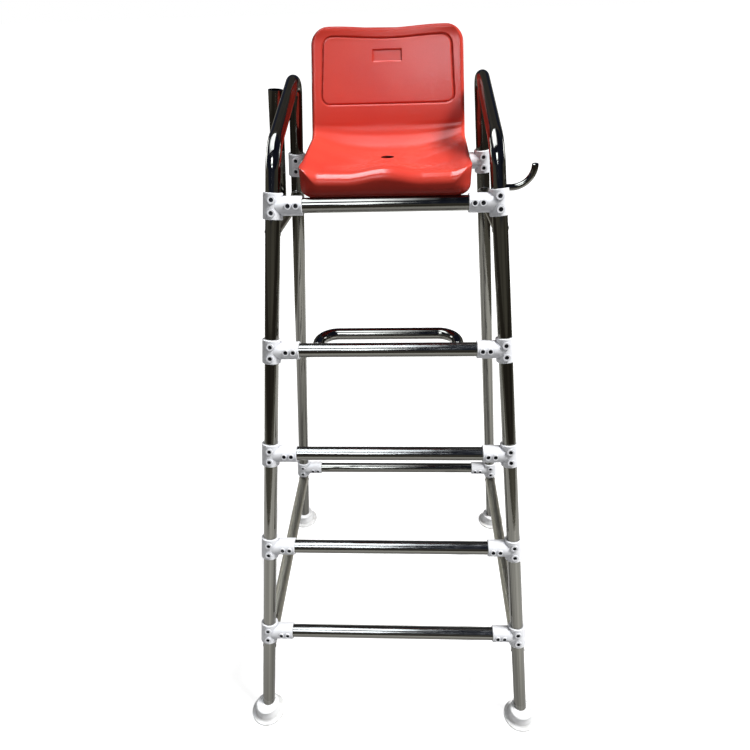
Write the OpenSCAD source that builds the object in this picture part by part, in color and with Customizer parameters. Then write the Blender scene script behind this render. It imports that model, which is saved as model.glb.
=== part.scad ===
// Lifeguard chair: a ladder frame of polished tube with cast tee fittings,
// two arm hoops, a footrest loop, a pole holder and a moulded seat.
// The origin lies on the floor, midway between the four feet.

/* [Seat] */
// Overall width of the seat
seat_w = 436; // [380:1:480]
// Depth of the seat base, front face to rear face
seat_d = 408; // [370:1:450]
// Height of the seat back above the underside of the seat
seat_h = 344; // [280:1:420]
// Height of the side rim above the underside of the seat
seat_rim_h = 68; // [56:1:80]
// Height of the front ridge between the thigh hollows
seat_ridge_h = 66; // [54:1:78]
// Height of the lowest point of the pan above the underside
seat_pan_h = 32; // [22:1:40]
// Depth of each thigh hollow below the ridge
thigh_hollow = 12; // [0:0.5:16]
// How far the seat back leans back, degrees
seat_recline = 12.5; // [6:0.5:18]
// Thickness of the upper seat back
back_t = 24; // [16:1:32]
// How much narrower each side of the seat back is at the top
back_taper = 10.5; // [0:0.5:20]
// How far the middle of the top edge dips below its two peaks
top_dip = 7.5; // [0:0.5:16]
// How much narrower each side of the base is at the front
front_narrow = 6; // [0:1:16]
// Plan radius of the two front corners along the rim
front_corner_r = 46; // [30:1:80]
// Plan radius of the two front corners along the underside
under_corner_r = 30; // [16:1:50]
// Radius of the two top corners
top_corner_r = 48; // [30:1:80]
// Radius of the rolled front lip
lip_r = 28; // [14:1:36]
// Radius of the rim along the sides
rim_r = 9; // [5:0.5:14]
// Draft of the skirt, rim to underside
skirt_draft = 2; // [0:0.5:12]
// Diameter of the drain hole in the pan
drain_d = 28; // [12:1:40]
// Distance of the drain hole from the front face
drain_y = 250; // [200:1:270]

/* [Frame] */
// Outside diameter of the frame tube
tube_d = 38; // [32:0.5:44]
// Wall of the frame tube
tube_wall = 2; // [1.2:0.1:3]
// Height of the seat rung above the floor
seat_rung_h = 1524; // [1450:1:1700]
// Height of the lowest step above the floor
first_step_h = 299; // [220:1:330]
// Rise from one step to the next
step_rise = 288.6; // [250:0.1:300]
// How far the ladder side leans back, degrees
ladder_lean = 15.64; // [10:0.01:20]
// How far each side frame leans inwards, degrees
side_lean = 4.68; // [2:0.01:7]
// Clear space from the side of the seat to the side frame tube
seat_side_gap = 42; // [25:1:90]
// How far the seat stands in front of the centre of the seat rung
front_overhang = 3; // [0:1:12]
// How far the seat reaches behind the centre of the rear rung
rear_overhang = 14; // [6:1:30]

/* [Arms] */
// Height of the front arm corner above the seat rung
arm_front_h = 131; // [110:1:180]
// Rise of the armrest towards the back, degrees
arm_rise = 18.2; // [5:0.1:22]
// Bend radius of the front arm corner
arm_front_r = 90; // [60:1:110]
// Bend radius of the rear arm corner
arm_rear_r = 38; // [30:1:80]

/* [Rails] */
// Clear space between a fitting and the rail welded below it
rail_gap = 8; // [4:0.5:20]
// Fall of the seat rail from front to rear
seat_rail_fall = 39; // [0:1:60]

/* [Footrest] */
// Outside diameter of the footrest tube
rest_d = 32; // [25:0.5:36]
// Half of the width of the footrest loop, centre to centre
rest_half_w = 186; // [140:1:220]
// Reach of the footrest loop behind the top step, centre to centre
rest_reach = 85.5; // [70:0.5:120]
// Bend radius of the footrest loop
rest_r = 50; // [40:1:65]

/* [Fittings] */
// Outside diameter of the sleeve of a fitting
fit_d = 50; // [47:0.5:56]
// Outside diameter of the socket of a fitting
socket_d = 48; // [44:0.5:54]
// Length of the sleeve on the leg
fit_l = 65; // [56:1:80]
// Reach of the socket from the centre of the leg
fit_reach = 75; // [68:1:90]
// Distance of each sleeve screw from the middle of the fitting
sleeve_screw = 15.7; // [12:0.1:20]
// Distance of the inner socket screw from the centre of the leg
socket_screw_in = 41.4; // [38:0.1:46]
// Distance of the outer socket screw from the centre of the leg
socket_screw_out = 61.2; // [56:0.1:64]
// Diameter of a screw boss on the sleeve
sleeve_boss_d = 19; // [14:0.5:20]
// Diameter of a screw boss on the socket
socket_boss_d = 16; // [14:0.5:17]
// Height of a screw boss above the fitting
boss_h = 2.8; // [1:0.1:4]
// Diameter of the screw hole
screw_d = 11; // [6:0.1:12.5]
// Depth of the screw hole below the top of the boss
screw_depth = 4.5; // [2:0.1:6]
// Wall of a fitting between the leg and the end of the rung
rung_stop = 3; // [2:0.5:6]
// Edge chamfer of a fitting
fit_chamfer = 1.2; // [0.4:0.1:2]

/* [Feet] */
// Diameter of a foot on the floor
foot_d = 104; // [90:1:130]
// Outside diameter of the foot collar
foot_collar_d = 70; // [66:1:80]
// Height of the foot collar
foot_h = 40; // [34:1:60]
// Thickness of the foot rim
foot_rim = 4; // [3:0.5:8]
// Distance of the lower tube end from the floor, along the tube
leg_lift = 12; // [10:0.5:18]

/* [Pole holder and hook] */
// Outside diameter of the pole holder
holder_d = 42.4; // [38:0.1:50]
// Wall of the pole holder
holder_wall = 2; // [1.5:0.1:3]
// Clear space between the pole holder and the rear leg
holder_gap = 16.8; // [10:0.1:30]
// Height of the open top of the pole holder above the seat rung
holder_top = 205; // [150:1:240]
// Height of the closed foot of the pole holder below the seat rung
holder_foot = 174; // [150:1:220]
// Height of the upper lug above the seat rung
upper_lug = 150; // [100:1:152]
// Depth of the lower lug below the seat rung
lower_lug = 136; // [132:1:146]
// Diameter of the lugs between the pole holder and the leg
lug_d = 16; // [10:0.5:20]
// Diameter of the hook rod
hook_d = 16; // [10:0.5:18]
// Bend radius of the hook
hook_r = 52; // [40:1:70]
// Straight part of the hook, from the centre of the tube
hook_run = 30; // [26:1:45]
// How far the hook bends round, degrees
hook_turn = 92; // [60:1:120]
// Height of the hook above the seat rung
hook_up = 33; // [30:1:60]

/* [Clearances] */
// Clearance all round between a tube and its fitting
fit_gap = 0.25; // [0.1:0.05:0.5]
// Clearance of a welded, coped end
weld_gap = 0.1; // [0.05:0.05:0.3]
// Clearance of the seat above the rungs
seat_gap = 0.1; // [0.05:0.05:0.3]

/* [Hidden] */
$fn = 72;
swell = 0.05;
into = 0.6;
steel = [0.75, 0.75, 0.73];
cast = [0.93, 0.93, 0.92];
red = [0.82, 0.2, 0.15];

// Where the frame stands, worked out from the seat it carries.
seat_half = seat_w / 2 + seat_side_gap + tube_d / 2;
rung_span = seat_d - front_overhang - rear_overhang;
foot_half = seat_half + seat_rung_h * tan(side_lean);
base_d = rung_span + seat_rung_h * tan(ladder_lean);
rear_y = base_d / 2;
plane_lean = atan(tan(ladder_lean) * cos(side_lean));
function leg_x(z) = foot_half - z * tan(side_lean);
function front_y(z) = z * tan(ladder_lean) - base_d / 2;
function up(z) = z / cos(side_lean);
function step_z(i) = first_step_h + (i - 1) * step_rise;
rail_drop = fit_l / 2 + tube_d / 2 + rail_gap;

// The plane of one side frame: z runs up the leaning plane, y to the rear.
module side_frame(s)
    translate([s * foot_half, 0, 0]) rotate([0, -s * side_lean, 0]) children();

// The point on a leg at a given height, with z along the leg.
module on_leg(s, z, rear)
    side_frame(s) translate([0, rear ? rear_y : front_y(z), up(z)])
        rotate([rear ? 0 : -plane_lean, 0, 0]) children();

module pipe(d, wall, l)
    difference() {
        cylinder(d = d, h = l);
        translate([0, 0, -1]) cylinder(d = d - 2 * wall, h = l + 2);
    }

// A solid bend that starts at the origin along z and turns towards y. It is
// a hair fatter than the straight lengths, which reach a little way into it.
module bend(r, turn, d)
    translate([0, r, 0]) rotate([90, 0, -90]) rotate_extrude(angle = turn)
        translate([r, 0]) circle(d = d + swell);

module length(d, l, before = into, after = into)
    translate([0, 0, -before]) cylinder(d = d, h = l + before + after);

// Whatever follows a bend, placed at its end.
module after_bend(r, turn)
    translate([0, r - r * cos(turn), r * sin(turn)]) rotate([-turn, 0, 0])
        children();

// ---------------------------------------------------------------- legs
leg_top = up(seat_rung_h) / cos(plane_lean);

module front_leg(s)
    side_frame(s) translate([0, -base_d / 2, 0]) rotate([-plane_lean, 0, 0])
        translate([0, 0, leg_lift]) pipe(tube_d, tube_wall, leg_top - leg_lift);

module rear_leg(s)
    side_frame(s) translate([0, rear_y, leg_lift])
        pipe(tube_d, tube_wall, up(seat_rung_h) - leg_lift);

// ---------------------------------------------------------------- arms
arm_y = front_y(seat_rung_h + arm_front_h);
arm_z = up(seat_rung_h + arm_front_h);
arm_len = (rear_y - arm_y) / cos(arm_rise);
arm_top = arm_z + (rear_y - arm_y) * tan(arm_rise);
turn_front = 90 - plane_lean - arm_rise;
turn_rear = 90 + arm_rise;
cut_front = arm_front_r * tan(turn_front / 2);
cut_rear = arm_rear_r * tan(turn_rear / 2);
arm_rise_l = (arm_z - up(seat_rung_h)) / cos(plane_lean) - cut_front;

module hoop_path(d, over = 0)
    rotate([-plane_lean, 0, 0]) {
        length(d, arm_rise_l, over);
        translate([0, 0, arm_rise_l]) {
            bend(arm_front_r, turn_front, d);
            after_bend(arm_front_r, turn_front) {
                length(d, arm_len - cut_front - cut_rear);
                translate([0, 0, arm_len - cut_front - cut_rear]) {
                    bend(arm_rear_r, turn_rear, d);
                    after_bend(arm_rear_r, turn_rear) length(d,
                        arm_top - cut_rear - up(seat_rung_h), into, over);
                }
            }
        }
    }

module arm_hoop(s)
    side_frame(s) translate([0, front_y(seat_rung_h), up(seat_rung_h)])
        difference() {
            hoop_path(tube_d);
            hoop_path(tube_d - 2 * tube_wall, 1);
        }

// ---------------------------------------------------------------- rungs
rung_in = tube_d / 2 + fit_gap + rung_stop;

module rung(z, y)
    translate([rung_in - leg_x(z), y, z]) rotate([0, 90, 0])
        pipe(tube_d, tube_wall, 2 * (leg_x(z) - rung_in));

// A rail in the side frame from the front leg to the rear leg, coped to both.
module rail(s, z_front, z_rear) {
    yf = front_y(z_front);
    tilt = atan2(up(z_rear) - up(z_front), rear_y - yf);
    run = (rear_y - yf) / cos(tilt);
    difference() {
        side_frame(s) translate([0, yf, up(z_front)]) rotate([tilt - 90, 0, 0])
            pipe(tube_d, tube_wall, run);
        on_leg(s, z_front, false) translate([0, 0, -60])
            cylinder(d = tube_d + 2 * weld_gap, h = 120);
        on_leg(s, z_rear, true) translate([0, 0, -60])
            cylinder(d = tube_d + 2 * weld_gap, h = 120);
    }
}

module side_rail(s)
    rail(s, first_step_h - rail_drop, first_step_h - rail_drop);

module seat_rail(s)
    rail(s, seat_rung_h - rail_drop, seat_rung_h - rail_drop - seat_rail_fall);

// ---------------------------------------------------------------- footrest
rest_leg = rest_reach - rest_r;
rest_bar = 2 * (rest_half_w - rest_r);

module rest_path(d, over = 0)
    rotate([-90, 0, 0]) rotate([0, 0, -90]) {
        length(d, rest_leg, over);
        translate([0, 0, rest_leg]) {
            bend(rest_r, 90, d);
            after_bend(rest_r, 90) {
                length(d, rest_bar);
                translate([0, 0, rest_bar]) {
                    bend(rest_r, 90, d);
                    after_bend(rest_r, 90) length(d, rest_leg, into, over);
                }
            }
        }
    }

module footrest()
    difference() {
        translate([-rest_half_w, front_y(step_z(4)), step_z(4)])
            difference() {
                rest_path(rest_d);
                rest_path(rest_d - 2 * tube_wall, 1);
            }
        translate([-rest_half_w - 40, front_y(step_z(4)), step_z(4)])
            rotate([0, 90, 0]) cylinder(d = tube_d + 2 * weld_gap,
                h = 2 * rest_half_w + 80);
    }

// ---------------------------------------------------------------- fittings
module chamfered(d, l, c)
    rotate_extrude() polygon([[0, 0], [d / 2 - c, 0], [d / 2, c],
        [d / 2, l - c], [d / 2 - c, l], [0, l]]);

// A boss of diameter w seen along z, its foot inside the wall of a cylinder of
// diameter d.
module boss(d, w)
    translate([0, 0, d / 2 - 4]) cylinder(d1 = w + 2, d2 = w, h = boss_h + 4);

module boss_hole(d)
    translate([0, 0, d / 2 + boss_h - screw_depth])
        cylinder(d = screw_d, h = screw_depth + 1);

module sleeve_side(s, z, rear)
    for (k = [-1, 1]) on_leg(s, z, rear) translate([0, 0, k * sleeve_screw])
        rotate([90, 0, 0]) children();

// The point where the rung meets the leg, with z along the rung.
module on_rung(s, z, rear)
    translate([s * leg_x(z), rear ? rear_y : front_y(z), z])
        rotate([0, -s * 90, 0]) children();

module socket_side(s, z, rear)
    for (x = [socket_screw_in, socket_screw_out])
        translate([s * (leg_x(z) - x), rear ? rear_y : front_y(z), z])
            rotate([90 - (rear ? 0 : ladder_lean), 0, 0]) children();

module fitting(s, z, rear = false)
    difference() {
        union() {
            on_leg(s, z, rear) translate([0, 0, -fit_l / 2])
                chamfered(fit_d, fit_l, fit_chamfer);
            on_rung(s, z, rear) chamfered(socket_d, fit_reach, fit_chamfer);
            sleeve_side(s, z, rear) boss(fit_d, sleeve_boss_d);
            socket_side(s, z, rear) boss(socket_d, socket_boss_d);
        }
        on_leg(s, z, rear) translate([0, 0, -fit_l / 2 - 5])
            cylinder(d = tube_d + 2 * fit_gap, h = fit_l + 10);
        on_rung(s, z, rear) translate([0, 0, rung_in])
            cylinder(d = tube_d + 2 * fit_gap, h = fit_reach);
        sleeve_side(s, z, rear) boss_hole(fit_d);
        socket_side(s, z, rear) boss_hole(socket_d);
    }

// ---------------------------------------------------------------- feet
module foot(s, rear) {
    r = foot_d / 2;
    c = foot_collar_d / 2;
    difference() {
        translate([s * foot_half, rear ? rear_y : -base_d / 2, 0])
            rotate_extrude() polygon([[0, 0], [r, 0], [r, foot_rim - 1],
                [r - 1.2, foot_rim], [c + 7, foot_rim + 1],
                [c + 4, foot_rim + 4], [c - 0.8, foot_h - 11],
                [c, foot_h - 9.5], [c, foot_h - 3], [c - 2.5, foot_h - 0.6],
                [c - 6, foot_h], [c - 7.5, foot_h - 1.5],
                [c - 8.5, foot_h - 1.5], [c - 10, foot_h], [0, foot_h]]);
        side_frame(s) translate([0, rear ? rear_y : -base_d / 2, 0])
            rotate([rear ? 0 : -plane_lean, 0, 0]) translate([0, 0, leg_lift])
                cylinder(d = tube_d + 2 * fit_gap, h = foot_h + 30);
    }
}

// ------------------------------------------------------- pole holder, hook
holder_x = -(tube_d + holder_d) / 2 - holder_gap;

module pole_holder() {
    l = up(holder_top + holder_foot);
    side_frame(-1)
        translate([holder_x, rear_y, up(seat_rung_h - holder_foot)])
            difference() {
                cylinder(d = holder_d, h = l);
                translate([0, 0, 4])
                    cylinder(d = holder_d - 2 * holder_wall, h = l);
            }
}

// Two short rods, coped to the pole holder and to the leg.
module holder_lugs()
    side_frame(-1) translate([0, rear_y, 0])
        for (z = [seat_rung_h + upper_lug, seat_rung_h - lower_lug])
            difference() {
                translate([0, 0, up(z)]) rotate([0, -90, 0])
                    cylinder(d = lug_d, h = -holder_x);
                translate([0, 0, up(z) - 20])
                    cylinder(d = tube_d + 2 * weld_gap, h = 40);
                translate([holder_x, 0, up(z) - 20])
                    cylinder(d = holder_d + 2 * weld_gap, h = 40);
            }

module hook() {
    z = seat_rung_h + hook_up;
    difference() {
        translate([leg_x(z), front_y(z), z]) rotate([90, 0, 90]) {
            length(hook_d, hook_run, 0);
            translate([0, 0, hook_run]) {
                bend(hook_r, hook_turn, hook_d);
                after_bend(hook_r, hook_turn)
                    translate([0, 0, -into]) chamfered(hook_d, 3, 1.5);
            }
        }
        on_leg(1, z, false) translate([0, 0, -30])
            cylinder(d = tube_d + 2 * weld_gap, h = 60);
        on_leg(1, seat_rung_h, false) translate([0, 0, -fit_l / 2])
            cylinder(d = fit_d + 2 * weld_gap, h = fit_l + weld_gap);
    }
}

// ---------------------------------------------------------------- seat
// The moulding is lofted through closed rows. Each row runs across the top
// face from left to right, round the rim, down the skirt and back underneath.
// Rows go from the front lip over the pan, round the bend and up the back.
base_y = [0, 0.5, 2, 4.5, 8, 12.5, 17.5, 23, 28, 37, 50, 70, 95, 120, 145,
    170, 195, 220, 245, 265];
bend_n = 9;
back_n = 16;
across = 30;
under = 8;
base_n = len(base_y);
rows = base_n + bend_n + back_n;

bend_rc = 85;
bend_rs = 40;
turn_back = 90 - seat_recline;
bend_yc = seat_d - 123;
bend_ys = seat_d - 90;
rear_corner_r = 14;
edge_r = back_t / 2;

// How much a quarter round of radius r takes off at distance e from its edge.
function round_off(e, r) = e >= r ? 0 : r - sqrt(r * r - (r - e) * (r - e));
function mix(a, b, t) = a + (b - a) * t;
function ramp(t) = t <= 0 ? 0 : t >= 1 ? 1 : (1 - cos(180 * t)) / 2;
function dir2(a) = [cos(a), sin(a)];

// Rows on the back: fraction of the way up, close together near the top.
function back_f(k) = let (t = k / back_n) 1 - pow(1 - t, 1.9);
function end_c() = [bend_yc + bend_rc * sin(turn_back),
    seat_pan_h + bend_rc * (1 - cos(turn_back))];
function rim_at(y) = seat_rim_h + 3 * y / seat_d;
function end_s() = [bend_ys + bend_rs * sin(turn_back),
    rim_at(bend_ys) + bend_rs * (1 - cos(turn_back))];
back_lc = (seat_h - end_c()[1]) / sin(turn_back);
back_ls = (seat_h - end_s()[1]) / sin(turn_back);

// Middle of the top face, as [y, z], for row v.
function mid_line(v) =
    v < base_n ? let (y = base_y[v] * bend_yc / 285) [y,
        mix(seat_ridge_h, seat_pan_h, ramp(y / (bend_yc - 15)))
            - round_off(base_y[v], lip_r)] :
    v < base_n + bend_n ? let (a = turn_back * (v - base_n) / bend_n)
        [bend_yc + bend_rc * sin(a), seat_pan_h + bend_rc * (1 - cos(a))] :
    end_c() + dir2(turn_back) * back_lc * back_f(v - base_n - bend_n + 1);

// Side of the top face, as [y, z], for row v.
function side_line(v) =
    v < base_n ? let (t = base_y[v] / 285,
        y = base_y[v] < 60 ? base_y[v] * bend_yc / 285
            : mix(base_y[v] * bend_yc / 285, bend_ys * t,
                ramp((base_y[v] - 60) / 160)))
        [y, rim_at(y) - round_off(base_y[v], lip_r)] :
    v < base_n + bend_n ? let (a = turn_back * (v - base_n) / bend_n)
        [bend_ys + bend_rs * sin(a),
            rim_at(bend_ys) + bend_rs * (1 - cos(a))] :
    end_s() + dir2(turn_back) * back_ls * back_f(v - base_n - bend_n + 1);

// Back face offset, and the rear face that joins the base to it.
function rear_off(f) = mix(end_c(), end_c() + dir2(turn_back) * back_lc, f)
    + back_t * [sin(turn_back), -cos(turn_back)];
join_f = 0.48;
join_p = rear_off(join_f);
join_c = [seat_d, join_p[1] - (join_p[0] - seat_d) * tan(turn_back)];

// Underside and rear face, as [y, z], for row v.
function low_line(v) =
    v < base_n ? [base_y[v] * bend_yc / 285, round_off(base_y[v], 8)] :
    v < base_n + bend_n ? let (t = (v - base_n) / bend_n,
        flat_y = seat_d - rear_corner_r)
        t < 0.55 ? [mix(bend_yc, flat_y, t / 0.55), 0] :
            let (a = 90 * (t - 0.55) / 0.45)
                [flat_y + rear_corner_r * sin(a),
                    rear_corner_r * (1 - cos(a))] :
    let (f = back_f(v - base_n - bend_n + 1))
        f < join_f ? let (t = f / join_f, a = [seat_d, rear_corner_r])
            mix(mix(a, join_c, t), mix(join_c, join_p, t), t) :
            rear_off(f);

// Distance of a back row from the top edge.
function from_top(v) =
    v < base_n + bend_n ? 1000 :
        back_lc * (1 - back_f(v - base_n - bend_n + 1)) + 0.6;

function wide(v) = seat_w / 2
    - (v < base_n ? front_narrow * (1 - base_y[v] / 285) : 0);
function half_w(v) = wide(v)
    - (v < base_n ? round_off(base_y[v], front_corner_r) : 0)
    - (v < base_n + bend_n ? 0 :
        back_taper * back_f(v - base_n - bend_n + 1)
            + round_off(from_top(v), top_corner_r));

function bulge(q) = pow(q, 2.4);
function hollow(x, y) = thigh_hollow * pow(sin(180 * min(1, abs(x)
    / (seat_w * 0.45))), 2) * (1 - ramp((y - 100) / 130));

// Thickness left near the top edge, where both faces close in.
function pinch(v) = let (e = from_top(v)) e >= edge_r ? 1 :
    sqrt(1 - pow((edge_r - e) / edge_r, 2));

function top_pt(x, v) = let (h = half_w(v) - rim_r,
    q = min(1, abs(x) / h), m = mid_line(v), s = side_line(v),
    p = mix(m, s, v < base_n + bend_n ? bulge(q) : q * q),
    d = v < base_n ? hollow(x, base_y[v]) : 0)
    [p[0], p[1] - d];

// Low point for the same row, moved with the dish of the back.
function low_pt(x, v) = let (l = low_line(v))
    v < base_n + bend_n ? l :
        let (q = min(1, abs(x) / half_w(v)), f = back_f(v - base_n - bend_n + 1),
            m = mid_line(v), s = side_line(v))
            [l[0] + (s[0] - m[0]) * q * q * ramp(f / join_f), l[1]
                + (s[1] - m[1]) * q * q * ramp(f / join_f)];

// The dip of the top edge pulls the rows of the upper back down.
function dip(x, v) = v < base_n + bend_n ? 0 :
    top_dip * pow(cos(90 * min(1, abs(x) / (seat_w * 0.36))), 2)
        * ramp((back_f(v - base_n - bend_n + 1) - 0.35) / 0.65);

// A point of row v: w is 1 on the top face and 0 underneath.
function row_pt(x, v, w) = let (t = top_pt(x, v), l = low_pt(x, v),
    k = pinch(v), u = 0.5 + (w - 0.5) * k, p = mix(l, t, u),
    n = dip(x, v)) [x, p[0] - n * cos(turn_back), p[1] - n * sin(turn_back)];

function row(v) = let (h = half_w(v), t = top_pt(h, v), l = low_pt(h, v),
    deep = norm(t - l), rr = min(rim_r, deep * 0.45),
    lr = min(v < base_n ? 14 : 10, deep * 0.4),
    hb = v < base_n ? wide(v) - skirt_draft
            - round_off(base_y[v], under_corner_r) :
        v < base_n + bend_n ? h - skirt_draft
            * (1 - (v - base_n) / bend_n) : h)
    concat(
        [for (i = [0:across]) row_pt((h - rr) * (2 * i / across - 1), v, 1)],
        [for (a = [22.5:22.5:90])
            row_pt(h - rr + rr * sin(a), v, 1 - rr * (1 - cos(a)) / deep)],
        [for (a = [0:30:90])
            row_pt(hb - lr + lr * cos(a), v, lr * (1 - sin(a)) / deep)],
        [for (i = [1:under - 1])
            row_pt((hb - lr) * (1 - 2 * i / under), v, 0)],
        [for (a = [90:-30:0])
            row_pt(-(hb - lr + lr * cos(a)), v, lr * (1 - sin(a)) / deep)],
        [for (a = [90:-22.5:22.5])
            row_pt(-(h - rr + rr * sin(a)), v, 1 - rr * (1 - cos(a)) / deep)]);

module seat_body() {
    pts = [for (v = [0:rows - 1]) each row(v)];
    n = len(row(0));
    polyhedron(points = pts, faces = concat(
        [[for (i = [0:n - 1]) i]],
        [[for (i = [n - 1:-1:0]) (rows - 1) * n + i]],
        [for (v = [0:rows - 2], i = [0:n - 1]) let (j = (i + 1) % n)
            [v * n + i, (v + 1) * n + i, (v + 1) * n + j]],
        [for (v = [0:rows - 2], i = [0:n - 1]) let (j = (i + 1) % n)
            [v * n + i, (v + 1) * n + j, v * n + j]]));
}

module seat()
    translate([0, front_y(seat_rung_h) - front_overhang,
        seat_rung_h + tube_d / 2 + seat_gap])
        difference() {
            seat_body();
            translate([0, drain_y, -1]) cylinder(d = drain_d, h = seat_rim_h);
        }

color(red) seat();
color(steel) rung(seat_rung_h, front_y(seat_rung_h));  // seat_rung
color(steel) rung(step_z(1), front_y(step_z(1)));  // step_rung_1
color(steel) rung(step_z(2), front_y(step_z(2)));  // step_rung_2
color(steel) rung(step_z(3), front_y(step_z(3)));  // step_rung_3
color(steel) rung(step_z(4), front_y(step_z(4)));  // step_rung_4
color(steel) rung(first_step_h, rear_y);  // rear_rung_low
color(steel) rung(seat_rung_h, rear_y);  // rear_rung_high
color(steel) front_leg(-1);  // front_leg_left
color(steel) front_leg(1);  // front_leg_right
color(steel) rear_leg(-1);  // rear_leg_left
color(steel) rear_leg(1);  // rear_leg_right
color(steel) arm_hoop(-1);  // arm_hoop_left
color(steel) arm_hoop(1);  // arm_hoop_right
color(steel) side_rail(-1);  // side_rail_left
color(steel) side_rail(1);  // side_rail_right
color(steel) seat_rail(-1);  // seat_rail_left
color(steel) seat_rail(1);  // seat_rail_right
color(steel) footrest();  // footrest_loop
color(steel) pole_holder();
color(steel) holder_lugs();
color(steel) hook();
color(cast) foot(-1, false);  // foot_front_left
color(cast) foot(1, false);  // foot_front_right
color(cast) foot(-1, true);  // foot_rear_left
color(cast) foot(1, true);  // foot_rear_right
color(cast) fitting(-1, seat_rung_h);  // fitting_seat_left
color(cast) fitting(1, seat_rung_h);  // fitting_seat_right
color(cast) fitting(-1, step_z(1));  // fitting_step_1_left
color(cast) fitting(1, step_z(1));  // fitting_step_1_right
color(cast) fitting(-1, step_z(2));  // fitting_step_2_left
color(cast) fitting(1, step_z(2));  // fitting_step_2_right
color(cast) fitting(-1, step_z(3));  // fitting_step_3_left
color(cast) fitting(1, step_z(3));  // fitting_step_3_right
color(cast) fitting(-1, step_z(4));  // fitting_step_4_left
color(cast) fitting(1, step_z(4));  // fitting_step_4_right
color(cast) fitting(-1, first_step_h, true);  // fitting_rear_low_left
color(cast) fitting(1, first_step_h, true);  // fitting_rear_low_right
color(cast) fitting(-1, seat_rung_h, true);  // fitting_rear_high_left
color(cast) fitting(1, seat_rung_h, true);  // fitting_rear_high_right
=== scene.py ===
"""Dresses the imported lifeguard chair: fine moulded seat, screws, welds, materials, studio and camera."""

import math

import bmesh
import bpy
import numpy as np
from mathutils import Matrix, Vector


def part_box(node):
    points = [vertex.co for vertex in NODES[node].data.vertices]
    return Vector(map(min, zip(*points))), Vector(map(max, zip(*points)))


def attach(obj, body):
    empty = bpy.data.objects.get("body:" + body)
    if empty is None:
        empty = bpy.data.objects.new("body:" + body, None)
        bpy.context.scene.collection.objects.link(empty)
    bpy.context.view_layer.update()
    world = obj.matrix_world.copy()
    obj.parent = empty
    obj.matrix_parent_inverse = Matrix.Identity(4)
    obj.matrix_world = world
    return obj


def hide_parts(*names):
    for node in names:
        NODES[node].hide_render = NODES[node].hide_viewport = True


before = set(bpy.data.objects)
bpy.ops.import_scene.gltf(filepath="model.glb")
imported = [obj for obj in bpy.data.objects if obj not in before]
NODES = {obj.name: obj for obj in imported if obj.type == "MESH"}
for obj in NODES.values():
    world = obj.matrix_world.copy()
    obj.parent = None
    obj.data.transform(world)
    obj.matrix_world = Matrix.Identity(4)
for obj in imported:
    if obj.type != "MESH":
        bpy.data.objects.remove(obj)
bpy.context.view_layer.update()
MM = 0.001


def spot(node):
    """Centre and size of a CAD node's box."""
    lo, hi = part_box(node)
    return (Vector(lo) + Vector(hi)) / 2, Vector(hi) - Vector(lo)


# ------------------------------------------------------------------ camera
def make_camera(place, yaw, pitch, roll, lens, shift):
    right = Vector((math.cos(yaw), -math.sin(yaw), 0))
    ahead = Vector((math.sin(yaw), math.cos(yaw), 0))
    up = Vector((0, 0, 1))
    look = ahead * math.cos(pitch) - up * math.sin(pitch)
    over = up * math.cos(pitch) + ahead * math.sin(pitch)
    side = right * math.cos(roll) + over * math.sin(roll)
    top = over * math.cos(roll) - right * math.sin(roll)
    data = bpy.data.cameras.new("camera")
    data.lens, data.sensor_width = lens, 36
    data.shift_x, data.shift_y = shift
    data.clip_start, data.clip_end = 0.05, 100
    camera = bpy.data.objects.new("camera", data)
    bpy.context.scene.collection.objects.link(camera)
    camera.matrix_world = Matrix.Translation(place) @ Matrix((side, top, -look)).transposed().to_4x4()
    bpy.context.scene.camera = camera


# The photo's viewing angle, in metres, radians and millimetres of lens, with the shift in frame widths.
make_camera(
    place=(0.0593, -1.4512, 2.0048),
    yaw=-0.05657,
    pitch=0.56560,
    roll=-0.03561,
    lens=29.221,
    shift=(-0.00795, -0.02072),
)


# --------------------------------------------------------------- materials
class Graph:
    """Short calls for the few nodes used here."""

    def __init__(self, tree):
        self.tree = tree

    def set(self, node, key, value):
        if isinstance(value, bpy.types.NodeSocket):
            self.tree.links.new(value, node.inputs[key])
        else:
            node.inputs[key].default_value = value

    def put(self, node, **values):
        for key, value in values.items():
            self.set(node, key.replace("_", " "), value)
        return node

    def add(self, kind, settings=None, **values):
        node = self.tree.nodes.new(kind)
        for key, value in (settings or {}).items():
            setattr(node, key, value)
        return self.put(node, **values)

    def operate(self, kind, operation, values):
        node = self.add(kind, {"operation": operation})
        for i, value in enumerate(values):
            self.set(node, i, value)
        return node.outputs

    def math(self, operation, *values):
        return self.operate("ShaderNodeMath", operation, values)[0]

    def vector(self, operation, *values):
        return self.operate("ShaderNodeVectorMath", operation, values)["Vector"]

    def length(self, vector):
        return self.operate("ShaderNodeVectorMath", "LENGTH", (vector,))["Value"]

    def where(self, output="Object"):
        return self.add("ShaderNodeTexCoord").outputs[output]

    def part(self, vector, axis):
        return self.add("ShaderNodeSeparateXYZ", Vector=vector).outputs[axis]

    def fade(self, value, off, full, start=0.0, end=1.0):
        """start at off, end at full, smooth between."""
        return self.add(
            "ShaderNodeMapRange", {"interpolation_type": "SMOOTHSTEP"},
            Value=value, From_Min=off, From_Max=full, To_Min=start, To_Max=end,
        ).outputs[0]

    def seen(self, mirrored=None):
        """1 on camera, glossy and transmission rays, 0 on the rest; mirrored scales the glossy ones."""
        path = self.add("ShaderNodeLightPath").outputs
        glossy = path["Is Glossy Ray"]
        if mirrored:
            glossy = self.math("MULTIPLY", glossy, mirrored)
        direct = self.math("MAXIMUM", path["Is Camera Ray"], glossy)
        return self.math("MAXIMUM", direct, path["Is Transmission Ray"])


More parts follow.
